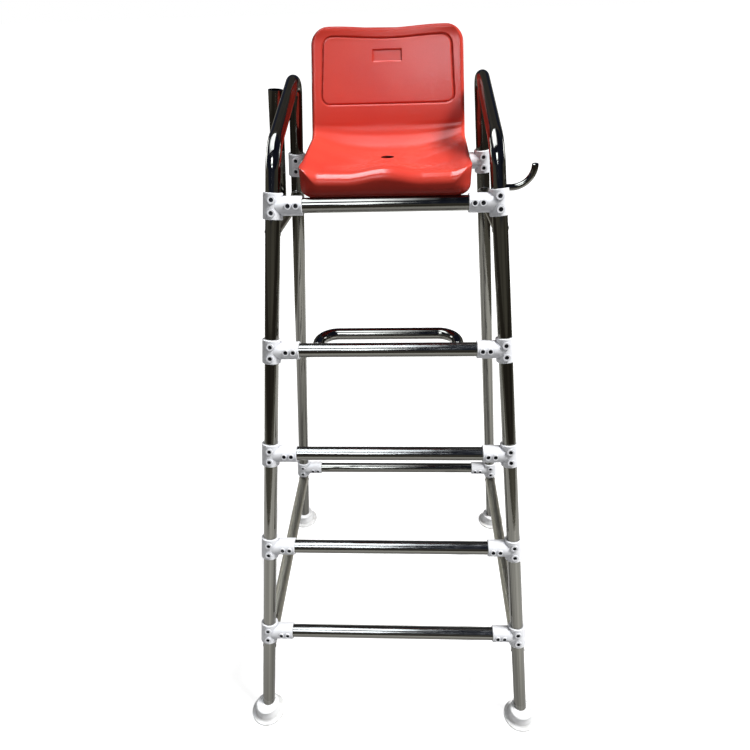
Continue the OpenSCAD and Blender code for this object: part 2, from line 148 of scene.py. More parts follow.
class Mat(Graph):
    """A node material round the Principled shader."""

    def __init__(self, name, **sockets):
        self.mat = bpy.data.materials.new(name)
        self.mat.use_nodes = True
        super().__init__(self.mat.node_tree)
        self.out = self.tree.nodes["Material Output"]
        self.shader = self.tree.nodes["Principled BSDF"]
        self.put(self.shader, **sockets)
        self.place = self.where()

    def facing(self, axis):
        """How much the surface faces along an axis, from -1 to 1."""
        return self.part(self.where("Normal"), axis)

    def noise(self, scale, detail=2.0, rough=0.5, vector=None):
        return self.add(
            "ShaderNodeTexNoise", Vector=vector or self.place, Scale=scale, Detail=detail, Roughness=rough,
        ).outputs["Fac"]

    def ramp(self, fac, *stops):
        node = self.add("ShaderNodeValToRGB", Fac=fac)
        for i, (at, colour) in enumerate(stops):
            element = node.color_ramp.elements[i] if i < 2 else node.color_ramp.elements.new(at)
            element.position, element.color = at, (*colour, 1)
        return node.outputs["Color"]

    def span(self, fac, low, high):
        """Spreads a noise's usual range, 0.3 to 0.7, over low to high."""
        return self.add(
            "ShaderNodeMapRange", Value=fac, From_Min=0.3, From_Max=0.7, To_Min=low, To_Max=high,
        ).outputs[0]

    def crease(self, reach):
        """1 in the bottom of narrow lines and inner corners, 0 in the open: where painted shade goes."""
        near = self.add("ShaderNodeAmbientOcclusion", {"samples": 6, "only_local": True}, Distance=reach)
        return self.fade(near.outputs["AO"], 0.95, 0.45)

    def mix(self, fac, a, b):
        node = self.add("ShaderNodeMix", {"data_type": "RGBA"})
        self.set(node, 0, fac)
        for i, value in ((6, a), (7, b)):
            self.set(node, i, (*value, 1) if isinstance(value, tuple) else value)
        return node.outputs[2]

    def tint(self, mask, share, tone, colour):
        """Mixes a share of a colour into a tone where the mask is 1."""
        return self.mix(self.math("MULTIPLY", mask, share), tone, colour)

    def bump(self, *layers):
        """Each layer is a height, its strength and its distance in metres."""
        normal = None
        for height, strength, distance in layers:
            node = self.add("ShaderNodeBump", Height=height, Strength=strength, Distance=distance)
            if normal:
                self.put(node, Normal=normal)
            normal = node.outputs["Normal"]
        self.put(self.shader, Normal=normal)


DRAIN_Y = 250.0  # centre of the drain behind the seat's front face
# Radius and height, in mm, of the painted shade inside the drain.
DRAIN_DARK_R, DRAIN_DARK_H = 18.3, 31.8  # the dark inside of the drain, up to its softened edge


def red_plastic():
    m = Mat("seat_red_plastic", Metallic=0.0, IOR=1.48)
    front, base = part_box("seat")[0][1:]
    height, up = m.part(m.place, "Z"), m.facing("Z")

    def rise(off, full):
        """0 at one height above the underside, 1 at another, in mm."""
        return m.fade(height, base + off * MM, base + full * MM)

    tone = m.mix(m.span(m.noise(5, 2), 0.0, 1.0), (0.655, 0.052, 0.034), (0.73, 0.070, 0.044))
    tone = m.mix(m.span(m.noise(700, 2), 0.0, 0.22), tone, (0.50, 0.045, 0.032))

    # Darker where the photo's room throws least light: skirt, foot of the back and creases.
    low = rise(80, 40)
    skirt = m.math("MULTIPLY", m.fade(up, 0.45, -0.15), low)
    tone = m.tint(skirt, 0.80, tone, (0.20, 0.016, 0.012))
    under = m.math("MULTIPLY", rise(175, 105), m.fade(up, 0.75, 0.35))
    tone = m.tint(under, 0.22, tone, (0.34, 0.028, 0.020))
    tone = m.tint(m.crease(6 * MM), 0.75, tone, (0.16, 0.010, 0.008))

    # Painted shade on the drain's wall, seen through its mouth.
    off = m.vector("SUBTRACT", m.place, (0.0, front + DRAIN_Y * MM, 0.0))
    across = m.length(m.vector("MULTIPLY", off, (1.0, 1.0, 0.0)))
    drain = m.math("LESS_THAN", across, DRAIN_DARK_R * MM)
    inside = m.math("MULTIPLY", drain, m.math("LESS_THAN", height, base + DRAIN_DARK_H * MM))
    tone = m.mix(inside, tone, (0.075, 0.008, 0.006))

    # Less shine on the bend, the front's foot and the rim over the panel.
    rear = m.fade(m.part(m.place, "Y"), front + 190 * MM, front + 290 * MM)
    bend = m.math("MULTIPLY", rear, rise(165, 105))
    shy = m.math("MAXIMUM", m.math("MULTIPLY", low, m.fade(up, 0.68, 0.48)), m.math("MULTIPLY", bend, 0.85))
    # crest, brow and edge also carry painted shade: darker along the back's top edge and down its side rims.
    crest = m.math("MULTIPLY", rise(290, 325), m.fade(up, 0.35, 0.6))
    brow = m.math("MULTIPLY", rise(300, 322), 0.75)
    tone = m.tint(brow, 0.35, tone, (0.34, 0.028, 0.020))
    edge = m.math("MULTIPLY", m.fade(m.math("ABSOLUTE", m.facing("X")), 0.3, 0.8), rise(100, 150))
    tone = m.tint(m.math("MAXIMUM", crest, edge), 0.6, tone, (0.28, 0.022, 0.016))
    dull = m.math("MAXIMUM", shy, m.math("MAXIMUM", crest, brow))
    m.put(
        m.shader,
        Base_Color=tone,
        Roughness=m.math("MULTIPLY_ADD", rear, 0.02, m.span(m.noise(420, 3), 0.13, 0.22)),
        Specular_IOR_Level=m.math("MULTIPLY_ADD", dull, -0.40, 0.5),
    )
    m.bump((m.noise(620, 3, 0.6), 0.16, 0.00016), (m.noise(60, 2), 0.04, 0.001))
    return m.mat


def polished_steel(name, worn=False, dust=0.0):
    """Bright tube with painted reflection streaks, in broad bands of tone that follow the way the surface
    faces; worn tops on the steps, a share of dust on the rails.
    """
    m = Mat(name, Metallic=1.0)
    normal = m.where("Normal")
    drift = m.vector("SCALE", m.place)
    drift.node.inputs["Scale"].default_value = 0.12
    # Painted reflection: bands of tone set by the surface's facing, standing in for mirrored surroundings.
    painted_reflection = m.noise(2.6, 2, 0.55, vector=m.vector("ADD", normal, drift))
    tone = m.ramp(
        painted_reflection,
        (0.36, (0.080, 0.078, 0.071)),
        (0.64, (0.20, 0.196, 0.175)),
        (0.50, (0.15, 0.147, 0.131)),
    )
    tone = m.mix(m.span(m.noise(9, 3), 0.0, 0.12), tone, (0.16, 0.15, 0.13))
    rough = m.span(m.noise(35, 3), 0.05, 0.12)
    if worn:
        top = m.fade(m.part(normal, "Z"), 0.35, 0.75)
        along = m.vector("MULTIPLY", m.place, (0.05, 1.0, 1.0))
        trod = m.math("MULTIPLY", top, m.span(m.noise(150, 3, 0.6, vector=along), 0.05, 0.8))
        tone = m.mix(trod, tone, (0.30, 0.30, 0.29))
        rough = m.math("ADD", rough, m.math("MULTIPLY", trod, 0.18))
    if dust:
        tone = m.mix(dust, tone, (0.30, 0.285, 0.23))
        rough = m.math("ADD", rough, m.math("MULTIPLY", m.noise(120, 3), dust))
    m.put(m.shader, Base_Color=tone, Roughness=rough)
    m.bump((m.noise(320, 2), 0.04, 0.0004), (m.noise(14, 2), 0.05, 0.004))
    return m.mat


def cast_white():
    m = Mat("fitting_white_paint", Metallic=0.0, IOR=1.5)
    tone = m.mix(m.span(m.noise(22, 3), 0.0, 1.0), (0.845, 0.855, 0.885), (0.885, 0.89, 0.91))
    tone = m.mix(m.span(m.noise(900, 1), 0.0, 0.12), tone, (0.62, 0.64, 0.68))
    # Painted shade: darker on faces turned downwards, and in creases and inner corners.
    tone = m.tint(m.fade(m.facing("Z"), 0.25, -0.55), 0.45, tone, (0.42, 0.43, 0.47))
    tone = m.tint(m.crease(9 * MM), 0.75, tone, (0.26, 0.27, 0.31))
    m.put(m.shader, Base_Color=tone, Roughness=m.span(m.noise(240, 2), 0.34, 0.50))
    m.bump((m.noise(700, 3, 0.6), 0.25, 0.0003), (m.noise(110, 2), 0.12, 0.001))
    return m.mat


def foot_plastic():
    """White plastic with grime that fades upwards over the lowest 18 mm."""
    m = Mat("foot_white_plastic", Metallic=0.0, IOR=1.48)
    low = m.math("SUBTRACT", 1.0, m.math("MULTIPLY", m.part(m.place, "Z"), 55.0))
    grime = m.math("MULTIPLY", m.math("MAXIMUM", low, 0.0), m.span(m.noise(70, 4, 0.6), 0.1, 0.9))
    tone = m.mix(m.span(m.noise(16, 2), 0.0, 1.0), (0.89, 0.90, 0.91), (0.93, 0.93, 0.93))
    tone = m.mix(grime, tone, (0.52, 0.51, 0.48))
    m.put(m.shader, Base_Color=tone, Roughness=m.span(m.noise(180, 2), 0.38, 0.55))
    m.bump((m.noise(520, 2), 0.18, 0.0004))
    return m.mat


def plain_metal(name, grain, dark, light, rough_grain, rough, bump):
    """A metal with one noise between two tones, one in its roughness and one in its relief."""
    m = Mat(name, Metallic=1.0)
    tone = m.mix(m.span(m.noise(grain, 3), 0.0, 1.0), dark, light)
    m.put(m.shader, Base_Color=tone, Roughness=m.span(m.noise(rough_grain, 2), *rough))
    scale, strength, distance = bump
    m.bump((m.noise(scale, 2), strength, distance))
    return m.mat


RED = red_plastic()
STEEL = polished_steel("tube_polished_steel")
TREAD = polished_steel("tube_worn_steel", worn=True)
DUSTY = polished_steel("tube_dusty_steel", dust=0.7)
CAST = cast_white()
FOOT = foot_plastic()
SCREW = plain_metal(
    "screw_zinc", 600, (0.010, 0.010, 0.012), (0.045, 0.045, 0.05), 900, (0.25, 0.5), (1500, 0.3, 0.0002))
WELD = plain_metal(
    "weld_steel", 150, (0.15, 0.145, 0.13), (0.34, 0.33, 0.31), 300, (0.24, 0.42), (600, 0.35, 0.0004))


def dress(obj, mat):
    if not obj.data.materials:
        obj.data.materials.append(mat)
        return
    for slot in obj.material_slots:
        slot.link = "OBJECT"
        slot.material = mat


COATS = {"fitting": CAST, "foot_": FOOT, "step_rung": TREAD, "side_rail": DUSTY}


def coat(name):
    """The material of a CAD node."""
    if name == "seat":
        return RED
    return next((mat for start, mat in COATS.items() if name.startswith(start)), STEEL)


for name, obj in NODES.items():
    dress(obj, coat(name))


def new_object(name, mesh):
    obj = bpy.data.objects.new(name, mesh)
    bpy.context.scene.collection.objects.link(obj)
    return obj


def piece(name, verts, faces, mat, sharp=None):
    """A new piece on the root body; edges over the angle sharp, in degrees, stay crisp."""
    mesh = bpy.data.meshes.new(name)
    mesh.from_pydata([tuple(v) for v in verts], [], faces)
    mesh.validate()
    obj = new_object(name, mesh)
    mesh.materials.append(mat)
    for poly in mesh.polygons:
        poly.use_smooth = True
    if sharp:
        mesh.set_sharp_from_angle(angle=math.radians(sharp))
    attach(obj, "root")
    return obj


def grid_faces(rows, n, base=0, closed=False):
    """Quads between rings of n points, and from the last ring back to the first when closed."""
    last = rows if closed else rows - 1
    return [
        (base + r * n + i, base + r * n + (i + 1) % n,
         base + (r + 1) % rows * n + (i + 1) % n, base + (r + 1) % rows * n + i)
        for r in range(last)
        for i in range(n)
    ]


# -------------------------------------------------------------------- seat
# Sizes in mm, in the seat's own frame: x across, y back from the front face, z up from the underside.
# Those of part.scad have its names there: seat_w, seat_d, seat_h, seat_rim_h, seat_ridge_h, seat_pan_h,
# thigh_hollow, back_t, back_taper, top_dip, skirt_draft, front_narrow, front_corner_r, top_corner_r,
# lip_r, rim_r and seat_recline, which is a right angle less TURN.
SEAT_W, SEAT_D, SEAT_H = 436.0, 408.0, 344.0
RIM_H, RIDGE_H, PAN_H, HOLLOW = 68.0, 66.0, 32.0, 12.0
BACK_T, TAPER, TOP_DIP, DRAFT, NARROW = 24.0, 10.5, 7.5, 2.0, 6.0
FRONT_R, LOW_R, TOP_R, LIP_R, RIM_R, EDGE_R, REAR_R = 46.0, 36.0, 48.0, 28.0, 9.0, 12.0, 14.0
FALL = 7.0  # run of the skirt's roll behind the lip
UNDER_DIP = 2.4  # how far the front underside settles onto the rung
MID_R, SIDE_R = 85.0, 40.0  # bend radii, in the middle and along the sides
TURN = math.radians(77.5)
MID_Y, SIDE_Y = SEAT_D - 123, SEAT_D - 90  # where the bend starts
BEND_FLAT, BEND_ROLL = 0.55, 0.45  # shares of the bend over the flat underside and round the rear corner
CROWN = 2.4  # power of the curve from the middle up to the side rims
PEAK_AT = 0.36  # share of the width from the middle out to each peak of the top edge
JOIN = 0.48  # share of the back above which its rear runs parallel to its front
UP = np.array([math.cos(TURN), math.sin(TURN)])
IN = np.array([math.sin(TURN), -math.cos(TURN)])


def round_off(e, r):
    """How far a corner of radius r falls short, e from its start."""
    return 0.0 if e >= r else r - math.sqrt(r * r - (r - e) ** 2)


def ramp(t):
    """0 below t = 0, 1 above t = 1, smooth between."""
    return (1 - np.cos(np.pi * np.clip(t, 0, 1))) / 2


def rim_at(y):
    """Height of the side rim, which rises 3 mm to the rear."""
    return RIM_H + 3 * y / SEAT_D


def tuck(e):
    """How far up its height the skirt is, e behind the lip: one roll from the lip to the underside."""
    return 1 - math.sqrt(1 - (1 - e / FALL) ** 2) if e < FALL else 0.0


def thigh(x):
    """Shape of the two hollows across the seat, full from 95 to 158 mm off the middle."""
    return ramp(np.abs(x) / 95) * (1 - 0.85 * ramp((np.abs(x) - 158) / 48))


def crest_dip(x, f):
    """How far the back dips between the peaks of its top edge, at x and a share f up the back."""
    out = np.minimum(1, np.abs(x) / (SEAT_W * PEAK_AT))
    return TOP_DIP * np.cos(np.pi / 2 * out) ** 2 * ramp((f - 0.35) / 0.65)


def bend_at(a):
    """Middle and side of the top face, turned by a from the pan towards the back."""
    return (
        np.array([MID_Y + MID_R * math.sin(a), PAN_H + MID_R * (1 - math.cos(a))]),
        np.array([SIDE_Y + SIDE_R * math.sin(a), rim_at(SIDE_Y) + SIDE_R * (1 - math.cos(a))]),
    )


MID_END, SIDE_END = bend_at(TURN)
MID_LEN = (SEAT_H - MID_END[1]) / math.sin(TURN)
SIDE_LEN = (SEAT_H - SIDE_END[1]) / math.sin(TURN)
JOIN_P = MID_END + UP * MID_LEN * JOIN + IN * BACK_T
JOIN_C = np.array([SEAT_D, JOIN_P[1] - (JOIN_P[0] - SEAT_D) * math.tan(TURN)])


def panel_groove(x, s):
    """Depth of the pressed line round the back panel, at x and s up the back."""
    low, high, r = 51.0, 224.0, 24.0
    half = 187.0 - 0.074 * (s - 60)
    depth, half_width = 2.8, 3.1
    qx = np.abs(x) - (half - r)
    qs = abs(s - (low + high) / 2) - ((high - low) / 2 - r)
    d = np.hypot(np.maximum(qx, 0), max(qs, 0)) + np.minimum(np.maximum(qx, qs), 0) - r
    return depth * np.clip(1 - np.abs(d) / half_width, 0, 1) ** 0.75


def panel_recess(x, s):
    """Depth of the blank rectangular recess."""
    half_w, half_h, centre = 39.5, 14.8, 174.8
    depth, wall = 2.5, 1.6
    d = np.maximum(np.abs(x) - half_w, np.abs(s - centre) - half_h)
    return depth * np.clip(0.5 - d / wall, 0, 1)


def seat_rows():
    """Rows from the lip to the top edge, as (part, value), close together at the lip, grooves and edges."""
    lip = [0, 0.02, 0.09, 0.2, 0.38, 0.62, 1, 1.5, 2, 3.2, 4.6, 6.2, 8, 10, 12, 14, 16, 18.5, 21, 24, 27, 30]
    base = lip + [34, 39, 45, 52, 60, 68] + list(np.arange(78, 285, 8.5))
    bend = np.linspace(0, 1, 22)[:-1]
    back = []
    for start, end, step in (
        (0, 44, 6.0), (44, 82, 1.35), (82, 158, 5.0), (158, 192.5, 1.1), (193, 232, 1.35),
    ):
        back += list(np.arange(start, end, step))
    back += [MID_LEN - k for k in (16, 13, 11, 9, 7, 5.4, 4, 2.8, 1.8, 1.1, 0.55, 0.2, 0.03)]
    return [(part, v) for part, rows in (("base", base), ("bend", bend), ("back", back)) for v in rows]


def seat_columns():
    """Places across the top face, from -1 to 1, close together along the groove and the recess."""
    half = list(np.arange(0, 0.17, 0.024)) + [0.172, 0.178, 0.184, 0.190, 0.196, 0.202, 0.208]
    half += list(np.arange(0.23, 0.76, 0.024)) + list(np.arange(0.765, 0.955, 0.0062))
    half += [0.962, 0.975, 0.988, 1.0]
    half = sorted(set(np.round(half, 4)))
    return np.array([-v for v in half[:0:-1]] + half)


def base_width(e):
    """Half the width of the base, e behind the lip, before its corners are rounded."""
    return SEAT_W / 2 - NARROW * (1 - e / MID_Y)


# Each section gives the (y, z) of the top's middle, the top's side and the underside, and the half width.
def base_section(e):
    """The seat's base, e behind the lip."""
    y_side = e if e < 60 else e + (SIDE_Y * e / MID_Y - e) * ramp((e - 60) / 160)
    mid = np.array([e, RIDGE_H + (PAN_H - RIDGE_H) * ramp(e / (MID_Y - 15)) - round_off(e, LIP_R)])
    side = np.array([y_side, rim_at(y_side) - round_off(e, LIP_R)])
    low = np.array([e, -UNDER_DIP * (1 - ramp((e - 22) / 20))])
    return mid, side, low, base_width(e) - round_off(e, FRONT_R)


def bend_section(t):
    """The bend, t from 0 at the pan to 1 at the foot of the back."""
    mid, side = bend_at(TURN * t)
    flat = SEAT_D - REAR_R
    if t < BEND_FLAT:
        low = np.array([MID_Y + (flat - MID_Y) * t / BEND_FLAT, 0.0])
    else:
        b = math.pi / 2 * (t - BEND_FLAT) / BEND_ROLL
        low = np.array([flat + REAR_R * math.sin(b), REAR_R * (1 - math.cos(b))])
    return mid, side, low, SEAT_W / 2


def back_section(s):
    """The back, s up its slope."""
    f = s / MID_LEN
    mid, side = MID_END + UP * s, SIDE_END + UP * SIDE_LEN * f
    if f < JOIN:
        t, a = f / JOIN, np.array([SEAT_D, REAR_R])
        b, c = a + (JOIN_C - a) * t, JOIN_C + (JOIN_P - JOIN_C) * t
        low = b + (c - b) * t
    else:
        low = mid + IN * BACK_T
    return mid, side, low, SEAT_W / 2 - TAPER * f - round_off(MID_LEN - s, TOP_R)


SECTIONS = {"base": base_section, "bend": bend_section, "back": back_section}


def seat_ring(part, value, columns):
    """One closed ring of points round the seat, in mm, in the seat's own frame."""
    mid, side, low, half = SECTIONS[part](value)
    base, back = part == "base", part == "back"
    f = value / MID_LEN if back else 0.0
    edge = MID_LEN - value if back else EDGE_R
    pinch = 1.0 if edge >= EDGE_R else math.sqrt(max(0.0, 1 - ((EDGE_R - edge) / EDGE_R) ** 2))

    def top_at(x):
        q = np.minimum(1, np.abs(x) / (half - RIM_R))
        p = mid + (side - mid) * (q * q if back else q ** CROWN)[:, None]
        if base:
            p[:, 1] -= HOLLOW * thigh(x) * (1 - ramp((value - 100) / 130))
        return p

    def low_at(x):
        p = np.repeat(low[None], len(x), 0)
        if base:
            q = np.minimum(1, np.abs(x) / (SEAT_W / 2 - 52)) ** CROWN
            p[:, 1] += (RIDGE_H + (RIM_H - RIDGE_H) * q - HOLLOW * thigh(x) - LIP_R - 0.5) * tuck(value)
        if back:
            q = np.minimum(1, np.abs(x) / half) ** 2 * ramp(f / JOIN)
            p = p + (side - mid) * q[:, None]
        return p

    def at(x, w):
        """Points at x, and w up from the underside (0) to the top face (1)."""
        x, w = np.atleast_1d(np.asarray(x, float)), np.atleast_1d(np.asarray(w, float))
        w = w + np.zeros(len(x))
        over, below = top_at(x), low_at(x)
        u = 0.5 + (w - 0.5) * pinch
        p = below + (over - below) * u[:, None]
        dip = crest_dip(x, f) if back else np.zeros(len(x))
        return np.column_stack([x, p - dip[:, None] * UP])

    rim = np.array([half])
    deep = float(np.linalg.norm(top_at(rim) - low_at(rim)))
    soft = 3.2 + (RIM_R - 3.2) * ramp((value - 45) / 60) if base else RIM_R
    top_r, low_r = min(soft, deep * 0.45), min(20.0 if base else 12.0, deep * 0.42)
    if base:
        t = tuck(value)
        foot = base_width(value) - DRAFT * (1 - t) - round_off(value, LOW_R + (FRONT_R - LOW_R) * t)
    else:
        foot = half - (0.0 if back else DRAFT * (1 - value))
    x = (half - top_r) * columns
    top = at(x, 1.0)
    if back:
        pressed = panel_groove(x, value) + panel_recess(x, value - crest_dip(x, f))
        top[:, 1:] += pressed[:, None] * IN
    a = np.radians(np.linspace(0, 90, 8)[1:])
    right = at(half - top_r + top_r * np.sin(a), 1 - top_r * (1 - np.cos(a)) / deep)
    g = np.linspace(0, 1, 6)[1:-1]
    w0, w1 = 1 - top_r / deep, low_r / deep
    wall = at(half + (foot - half) * g, w0 + (w1 - w0) * g)
    b = np.radians(np.linspace(0, 90, 7))
    heel = at(foot - low_r + low_r * np.cos(b), low_r * (1 - np.sin(b)) / deep)
    under = at(-(foot - low_r) * np.linspace(-1, 1, 26)[1:-1], 0.0)
    left = [np.column_stack([-strip[::-1, 0], strip[::-1, 1:]]) for strip in (heel, wall, right)]
    return np.vstack([top, right, wall, heel, under] + left)


def even_normals(b, mesh):
    """Turns all faces of a BMesh outwards, writes it into the mesh and frees it."""
    bmesh.ops.recalc_face_normals(b, faces=b.faces)
    b.to_mesh(mesh)
    b.free()


def build_seat():
    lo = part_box("seat")[0]
    columns = seat_columns()
    rings = [seat_ring(part, value, columns) for part, value in seat_rows()]
    n, rows = len(rings[0]), len(rings)
    points = np.vstack(rings)
    points[:, 1] += lo[1] / MM
    points[:, 2] += lo[2] / MM
    faces = grid_faces(rows, n)
    faces.append(tuple(range(n - 1, -1, -1)))
    faces.append(tuple((rows - 1) * n + i for i in range(n)))
    seat = piece("seat_moulded", points * MM, faces, RED)
    b = bmesh.new()
    b.from_mesh(seat.data)
    even_normals(b, seat.data)
    return seat


SEAT = build_seat()
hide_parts("seat")


def drain_cutter():
    """A round drain with a softened top edge, cut through the pan."""
    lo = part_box("seat")[0]
    r, n = 17.4, 64
    y, z = lo[1] / MM + DRAIN_Y, lo[2] / MM
    top = z + PAN_H + 2.5
    levels = [
        (r, z - 2), (r, top - 4.4), (r + 0.3, top - 3.4),
        (r + 0.9, top - 2.7), (r + 1.9, top - 2.3), (r + 1.9, top + 20),
    ]
    turns = [2 * math.pi * i / n for i in range(n)]
    b = bmesh.new()
    rings = [
        [b.verts.new(((k * math.cos(t)) * MM, (y + k * math.sin(t)) * MM, level * MM)) for t in turns]
        for k, level in levels
    ]
    for p, q in zip(rings, rings[1:]):
        for i in range(n):
            b.faces.new((p[i], p[(i + 1) % n], q[(i + 1) % n], q[i]))
    b.faces.new(rings[0][::-1])
    b.faces.new(rings[-1])
    mesh = bpy.data.meshes.new("drain_cutter")
    even_normals(b, mesh)
    return new_object("drain_cutter", mesh)


def cut(obj, cutter):
    mod = obj.modifiers.new("cut", "BOOLEAN")
    mod.operation, mod.object, mod.solver = "DIFFERENCE", cutter, "EXACT"
    graph = bpy.context.evaluated_depsgraph_get()
    mesh = bpy.data.meshes.new_from_object(obj.evaluated_get(graph))
    obj.modifiers.clear()
    old, name = obj.data, obj.data.name
    obj.data = mesh
    bpy.data.meshes.remove(old)
    mesh.name = name
    bpy.data.objects.remove(cutter)
    mesh.set_sharp_from_angle(angle=math.radians(50))


cut(SEAT, drain_cutter())

# ------------------------------------------------------- screws in the bosses
# In mm, from part.scad: screws along the sleeve and the socket, tops of the bosses, radius of the hole.
SLEEVE_AT, SOCKET_AT = 15.7, (41.4, 61.2)
SLEEVE_TOP, SOCKET_TOP, HOLE_R = 27.8, 26.8, 5.5
SCREW_GAP, SCREW_END, SOCKET_FLAT = 0.12, -4.3, 3.0  # play in the hole, lower end, half across the flats
SCREW_DEPTHS = (0.7, 1.5, 1.1, 1.9, 0.8)  # how far in the screws stand, in turn
SCREW_TURN = 1.7  # radians from one screw's socket to the next
TUBE_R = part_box("step_rung_1")[1][2] - spot("step_rung_1")[0].z
RUNGS = ["step_rung_1", "step_rung_2", "step_rung_3", "step_rung_4", "seat_rung"]
LOW_RUNG, TOP_RUNG = spot("step_rung_1"), spot("step_rung_4")
RISE = TOP_RUNG[0].z - LOW_RUNG[0].z
LEAN_X = (LOW_RUNG[1].x - TOP_RUNG[1].x) / 2 / RISE
LEAN_Y = (TOP_RUNG[0].y - LOW_RUNG[0].y) / RISE
FOOT_X = spot("foot_front_right")[0].x


def leg_x(z):
    return FOOT_X - LEAN_X * z


def leg_way(s, rear):
    return Vector((-s * LEAN_X, 0 if rear else LEAN_Y, 1)).normalized()


def face_way(way):
    """The front of a leg, at right angles to it."""
    back = Vector((0, 1, 0))
    return -(back - way * way.y).normalized()


def boss_places():
    """Centre of the top of each boss and the way it faces."""
    out = []
    sets = [(n, False) for n in RUNGS] + [("rear_rung_low", True), ("rear_rung_high", True)]
    for rung, rear in sets:
        mid = spot(rung)[0]
        for s in (-1, 1):
            way = leg_way(s, rear)
            leg = Vector((s * leg_x(mid.z), mid.y, mid.z))
            facing = face_way(way)
            for k in (-1, 1):
                out.append((leg + way * SLEEVE_AT * MM * k + facing * SLEEVE_TOP * MM, facing))
            facing = Vector((0, -1, 0 if rear else LEAN_Y)).normalized()
            for x in SOCKET_AT:
                out.append((leg - Vector((s * x * MM, 0, 0)) + facing * SOCKET_TOP * MM, facing))
    return out


def turned(place, facing, roll):
    """A matrix that stands z along the way something faces."""
    side = Vector((1, 0, 0)).cross(facing)
    side = (side if side.length > 0.1 else Vector((0, 1, 0)).cross(facing)).normalized()
    stand = Matrix((side.cross(facing), side, facing)).transposed().to_4x4()
    return Matrix.Translation(place) @ stand @ Matrix.Rotation(roll, 4, "Z")


def screw_rings(depth):
    """A set screw with a chamfered rim and a six-sided socket, as rings from outside to inside."""
    n = 36
    a = [2 * math.pi * i / n for i in range(n)]

    def six(t):
        return SOCKET_FLAT / math.cos((t + math.pi / 6) % (math.pi / 3) - math.pi / 6)

    r = HOLE_R - SCREW_GAP
    rows = [
        [(r, SCREW_END)] * n,
        [(r, -depth - 0.45)] * n,
        [(r - 0.5, -depth)] * n,
        [(six(t) + 0.45, -depth) for t in a],
        [(six(t), -depth - 0.3) for t in a],
        [(six(t) - 0.02, -4.0) for t in a],
        [(0.35, -4.25)] * n,
    ]
    return [[Vector((q * math.cos(t), q * math.sin(t), z)) * MM for t, (q, z) in zip(a, row)] for row in rows]


def build_screws():
    verts, faces = [], []
    for number, (place, facing) in enumerate(boss_places()):
        matrix = turned(place, facing, number * SCREW_TURN)
        rings = screw_rings(SCREW_DEPTHS[number % len(SCREW_DEPTHS)])
        base, rows, n = len(verts), len(rings), len(rings[0])
        for ring in rings:
            verts += [matrix @ v for v in ring]
        faces += grid_faces(rows, n, base)
        faces.append(tuple(base + (rows - 1) * n + i for i in range(n)))
    piece("set_screws", verts, faces, SCREW, sharp=28)


build_screws()

# --------------------------------------------------------------- weld beads
BEAD_R, BEAD_SIDES, BEAD_STEPS = 2.1, 8, 72  # radius in mm, sides round the bead, steps along it
RIPPLE, RIPPLE_STEPS = 0.10, 4  # share by which a bead swells and shrinks, and the steps in one ripple


def bead(place, axis, r, point, way, radius):
    """A rippled bead where a rod of radius r along an axis runs into a round tube."""
    axis, way = axis.normalized(), way.normalized()
    u = axis.orthogonal().normalized()
    v = axis.cross(u)
    line = []
    for i in range(BEAD_STEPS):
        t = math.radians(360 * i / BEAD_STEPS)
        p = place + (u * math.cos(t) + v * math.sin(t)) * r
        rel = p - point
        d = axis - way * axis.dot(way)
        e = rel - way * rel.dot(way)
        a, b, c = d.dot(d), 2 * e.dot(d), e.dot(e) - radius * radius
        line.append(p + axis * (-b + math.sqrt(max(0.0, b * b - 4 * a * c))) / (2 * a))
    rings = []
    for i, p in enumerate(line):
        along = (line[(i + 1) % BEAD_STEPS] - line[i - 1]).normalized()
        out = (p - point - way * (p - point).dot(way)).normalized()
        side = along.cross(out).normalized()
        out = side.cross(along)
        q = BEAD_R * MM * (1 + RIPPLE * math.cos(i * 2 * math.pi / RIPPLE_STEPS))
        turns = [math.pi * 2 * k / BEAD_SIDES for k in range(BEAD_SIDES)]
        rings.append([p + (out * math.cos(g) + side * math.sin(g)) * q for g in turns])
    return rings


def build_welds():
    verts, faces = [], []

    def put(rings):
        faces.extend(grid_faces(len(rings), len(rings[0]), len(verts), closed=True))
        for ring in rings:
            verts.extend(ring)

    rear_y = spot("rear_rung_low")[0].y
    step = spot("step_rung_1")[0]
    for name in ("side_rail", "seat_rail"):
        for s, side in ((-1, "left"), (1, "right")):
            lo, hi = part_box(f"{name}_{side}")
            if name == "side_rail":
                mid = (Vector(lo) + Vector(hi)) / 2
                front, rear = Vector((mid.x, 0, mid.z)), Vector((mid.x, 0, mid.z))
            else:
                z0, z1 = hi[2] - TUBE_R, lo[2] + TUBE_R
                front, rear = Vector((s * leg_x(z0), 0, z0)), Vector((s * leg_x(z1), 0, z1))
            front.y = step.y + (front.z - step.z) * LEAN_Y
            rear.y = rear_y
            run = (rear - front).normalized()
            put(bead(front, run, TUBE_R, front, leg_way(s, False), TUBE_R))
            put(bead(rear, -run, TUBE_R, rear, leg_way(s, True), TUBE_R))
    lo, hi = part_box("footrest_loop")
    r = (hi[2] - lo[2]) / 2
    rung = spot("step_rung_4")[0]
    for x in (lo[0] + r, hi[0] - r):
        put(bead(Vector((x, rung.y, rung.z)), Vector((0, 1, 0)), r, rung, Vector((1, 0, 0)), TUBE_R))
    piece("weld_beads", verts, faces, WELD)


build_welds()

# ---------------------------------------------------------- softened edges
for name, obj in NODES.items():
    if name.startswith("fitting"):
        soft = obj.modifiers.new("soft_edges", "BEVEL")
        soft.limit_method, soft.angle_limit = "ANGLE", math.radians(38)
        soft.width, soft.segments, soft.use_clamp_overlap = 0.55 * MM, 2, True


